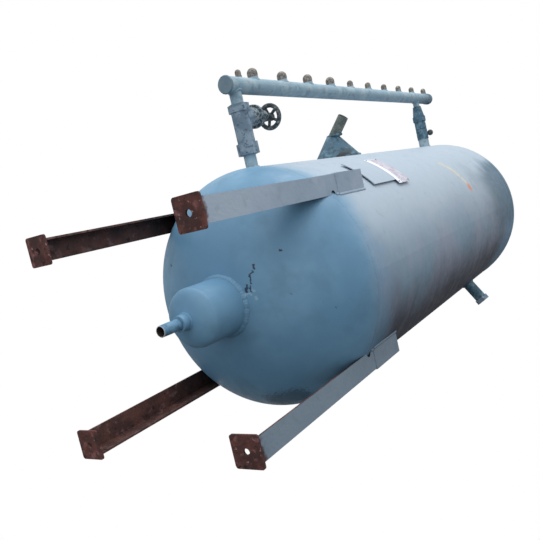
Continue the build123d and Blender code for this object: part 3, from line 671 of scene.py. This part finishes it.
def bead(path, width, height, closed=True):
    """Vertices and faces of one rippled bead; width and height are the half axes of its section."""
    pitch = 0.7 * width
    stations = resample(path[0], path[1], closed, pitch / 4)
    count = len(stations)
    vertices = []
    lumps = [WELD_RANDOM.uniform(0.86, 1.1) for _ in range(count // 4 + 2)]
    travelled = 0.0
    for i, (point, away) in enumerate(stations):
        after = stations[(i + 1) % count][0] if closed or i + 1 < count else point
        before = stations[i - 1][0] if closed or i else point
        tangent = (after - before).normalized()
        side = tangent.cross(away).normalized()
        whole, share = divmod(travelled / pitch, 1.0)
        lump = lumps[int(whole) % len(lumps)] * (1 - share) + lumps[int(whole + 1) % len(lumps)] * share
        for k in range(SECTION_POINTS):
            angle = 2 * pi * k / SECTION_POINTS
            lag = 0.35 * (1 - cos(angle))
            ripple = 1 + 0.12 * abs(sin(pi * (travelled / pitch + lag)))
            size = lump * ripple * 0.92
            offset = away * (height * size * cos(angle)) + side * (width * size * sin(angle))
            vertices.append(point + offset)
        travelled += (after - point).length
    faces = []
    for i in range(count if closed else count - 1):
        near = i * SECTION_POINTS
        far = (i + 1) % count * SECTION_POINTS
        for k in range(SECTION_POINTS):
            turn = (k + 1) % SECTION_POINTS
            faces.append((near + k, near + turn, far + turn, far + k))
    if not closed:
        faces.append(tuple(range(SECTION_POINTS))[::-1])
        faces.append(tuple((count - 1) * SECTION_POINTS + k for k in range(SECTION_POINTS)))
    return vertices, faces


def piece(name, solids, slot, body="tank", material=None):
    """One object from several (vertices, faces) pairs, riding on a body."""
    vertices = []
    faces = []
    for points, polygons in solids:
        faces += [tuple(len(vertices) + i for i in polygon) for polygon in polygons]
        vertices += points
    mesh = bpy.data.meshes.new(name)
    mesh.from_pydata([tuple(v) for v in vertices], [], faces)
    mesh.shade_smooth()
    made = bpy.data.objects.new(name, mesh)
    bpy.context.scene.collection.objects.link(made)
    mesh.materials.append(material or MATERIALS[slot])
    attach(made, body)
    return made


def make_girth_welds():
    for seam, node in ((LOW_SEAM, "bottom_girth_weld"), (HIGH_SEAM, "top_girth_weld")):
        path = ring((0, 0, seam), UP, SHELL_R - 0.0014, count=256)
        weld = piece(node + "_bead", [bead(path, 0.018, 0.0026)], "weld_paint",
                     material=MATERIALS["shell_paint"])
        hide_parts(node)


def corner_ring(height, radius):
    """Path where an upright round branch leaves a surface above it."""
    base, away = ring((0, 0, height), UP, radius)
    return base, [(a - UP).normalized() for a in away]


def make_branch_welds():
    for node, width, height in (("drain_pot", 0.012, 0.009), ("drain_coupling", 0.004, 0.0035)):
        corner = corner_ring(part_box(node)[1].z, half_width(node))
        piece(node + "_weld", [bead(corner, width, height)], "head_paint")
    low_riser_z = middle("lower_riser_nipple").z
    high_riser_z = middle("upper_riser_nipple").z
    piece("riser_welds", [bead(saddle(low_riser_z, half_width("lower_riser_pipe")), 0.006, 0.005),
                          bead(saddle(high_riser_z, half_width("upper_riser_socket")), 0.006, 0.005)],
          "header_paint")


def make_inlet_welds():
    """Neck on the shell, cone on the neck, pipe on the cone."""
    neck = middle("inlet_neck")
    radius = half_width("inlet_neck")
    neck_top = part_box("inlet_neck")[0].y
    cone_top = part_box("inlet_reducer")[0].y
    pipe_low, pipe_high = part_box("inlet_pipe")
    pipe_r = (pipe_high.z - pipe_low.z) / 2
    root_x = neck.x + INLET_ROOT_DEPTH * sin(INLET_LEAN) / cos(INLET_LEAN)
    root = Vector((root_x, cone_top, neck.z))
    mouth = []
    away = []
    for i in range(64):
        angle = 2 * pi * i / 64
        sideways = Vector((cos(angle), 0, sin(angle)))
        mouth.append(root + Vector((sideways.x * pipe_r / cos(INLET_LEAN), 0, sideways.z * pipe_r)))
        away.append((sideways + OUTWARD).normalized())
    beads = [bead(saddle(neck.z, radius, offset=-neck.x), 0.007, 0.006),
             bead(ring((neck.x, neck_top, neck.z), OUTWARD, radius), 0.006, 0.0025),
             bead((mouth, away), 0.007, 0.006)]
    piece("inlet_welds", beads, "teal_paint")
    side = middle("side_socket")
    low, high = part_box("side_socket")
    foot = saddle(side.z, (high.z - low.z) / 2, azimuth=atan2(side.y, side.x) * 180 / pi)
    piece("side_socket_weld", [bead(foot, 0.006, 0.005)], "teal_paint")


def make_leg_welds():
    """Beads along the legs' and clips' toes, round the joint between them, and on the foot plates."""
    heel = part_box("leg_1")[1].x
    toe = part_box("leg_1")[0].x
    clip_low, clip_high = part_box("leg_clip_1")
    joint = clip_low.z
    clip_top = clip_high.z
    clip_face = clip_high.x
    plate_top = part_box("foot_plate_1")[1].z

    def against_shell(face):
        return sqrt(SHELL_R ** 2 - face ** 2)

    leg_y = against_shell(heel)
    clip_y = against_shell(clip_face)
    shell_lines = [((heel, leg_y, joint - 0.018), (heel, leg_y, joint), (1, 0.33, 0)),
                   ((clip_face, clip_y, joint), (clip_face, clip_y, clip_top), (1, 0.33, 0))]
    joint_lines = [((heel, leg_y + 0.004, joint), (heel, heel, joint), (1, 0, -1))]
    plate_lines = [((heel, toe, plate_top), (heel, heel, plate_top), (1, 0, 1))]

    def everywhere(lines, width, height):
        beads = []
        for start, end, facing in lines:
            for quarter in range(4):
                turn = Matrix.Rotation(quarter * pi / 2, 3, "Z")
                for swap in (False, True):
                    order = (1, 0, 2) if swap else (0, 1, 2)
                    given = [Vector([vector[i] for i in order]) for vector in (start, end, facing)]
                    path = line(*(turn @ vector for vector in given))
                    beads.append(bead(path, width, height, False))
        return beads

    leg_beads = everywhere(shell_lines, 0.005, 0.004)
    leg_beads += everywhere(joint_lines, 0.004, 0.003)
    piece("leg_welds", leg_beads, "leg_paint")
    piece("foot_welds", everywhere(plate_lines, 0.0045, 0.0038), "rusty_steel")


def make_drain_thread():
    """The drain's pipe with its thread cut, in place of the plain one."""
    thread_top = DRAIN_LOW.z + THREAD_LENGTH
    thread_r = DRAIN_R - 0.00025
    around = 64
    rows = [(DRAIN_LOW.z, DRAIN_BORE + 0.0004)]
    steps = int(THREAD_LENGTH / THREAD_PITCH * 8)
    rows += [(DRAIN_LOW.z + THREAD_LENGTH * i / steps, None) for i in range(steps + 1)]
    rows += [(thread_top + 0.001, DRAIN_R), (DRAIN_HIGH.z, DRAIN_R)]
    rows += [(DRAIN_HIGH.z, DRAIN_BORE), (DRAIN_LOW.z + 0.0006, DRAIN_BORE)]
    vertices = []
    for z, radius in rows:
        for k in range(around):
            reach = radius
            if radius is None:
                turn = ((z - DRAIN_LOW.z) / THREAD_PITCH - k / around) % 1.0
                cut = THREAD_DEPTH * abs(2 * turn - 1)
                fade = min(1.0, (thread_top - z) / (2 * THREAD_PITCH))
                chamfer = max(0.0, THREAD_CHAMFER - (z - DRAIN_LOW.z)) * 0.8
                reach = thread_r - cut * fade - chamfer
            angle = 2 * pi * k / around
            vertices.append(Vector((reach * cos(angle), reach * sin(angle), z)))
    faces = []
    for row in range(len(rows)):
        near = row * around
        far = (row + 1) % len(rows) * around
        for k in range(around):
            turn = (k + 1) % around
            faces.append((near + k, near + turn, far + turn, far + k))
    pipe = piece("drain_nipple_threaded", [(vertices, faces)], "head_paint", material=drain_paint())
    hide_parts("drain_nipple")


def make_header_welds():
    beads = []
    for node, count in (("large_port_sockets", 4), ("small_port_sockets", 6)):
        low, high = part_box(node)
        radius = half_width(node)
        first = low.z + radius
        last = high.z - radius
        for i in range(count):
            height = first + (last - first) * i / (count - 1)
            beads.append(bead(saddle(height, radius, HEADER_R, HEADER_Y), 0.0035, 0.003))
    gauge = middle("gauge_port_socket")
    radius = half_width("gauge_port_socket")
    beads.append(bead(saddle(gauge.z, radius, HEADER_R, HEADER_Y, offset=-gauge.x), 0.003, 0.0026))
    for node in ("lower_riser_nipple", "upper_riser_nipple"):
        path = saddle(middle(node).z, half_width(node), HEADER_R, HEADER_Y, azimuth=90)
        beads.append(bead(path, 0.0045, 0.004))
    beads.append(bead(ring((0, HEADER_Y, HEADER_LOW.z), UP, HEADER_R), 0.004, 0.0025))
    piece("header_welds", beads, "header_paint")


make_camera()
make_world()
make_floor()
make_light("key", (1.0, -4.2, 2.2), (0, 0, 1.4), 3.0, 75, (1.0, 0.99, 0.97))
make_light("front", (1.6, -2.6, -2.6), (0, 0, 0.8), 3.0, 26)
make_light("back", (-3.6, 3.0, 2.6), (0, 0, 1.4), 3.0, 12)
make_girth_welds()
make_branch_welds()
make_inlet_welds()
make_leg_welds()
make_drain_thread()
make_header_welds()
bpy.context.scene.view_settings.view_transform = "Standard"
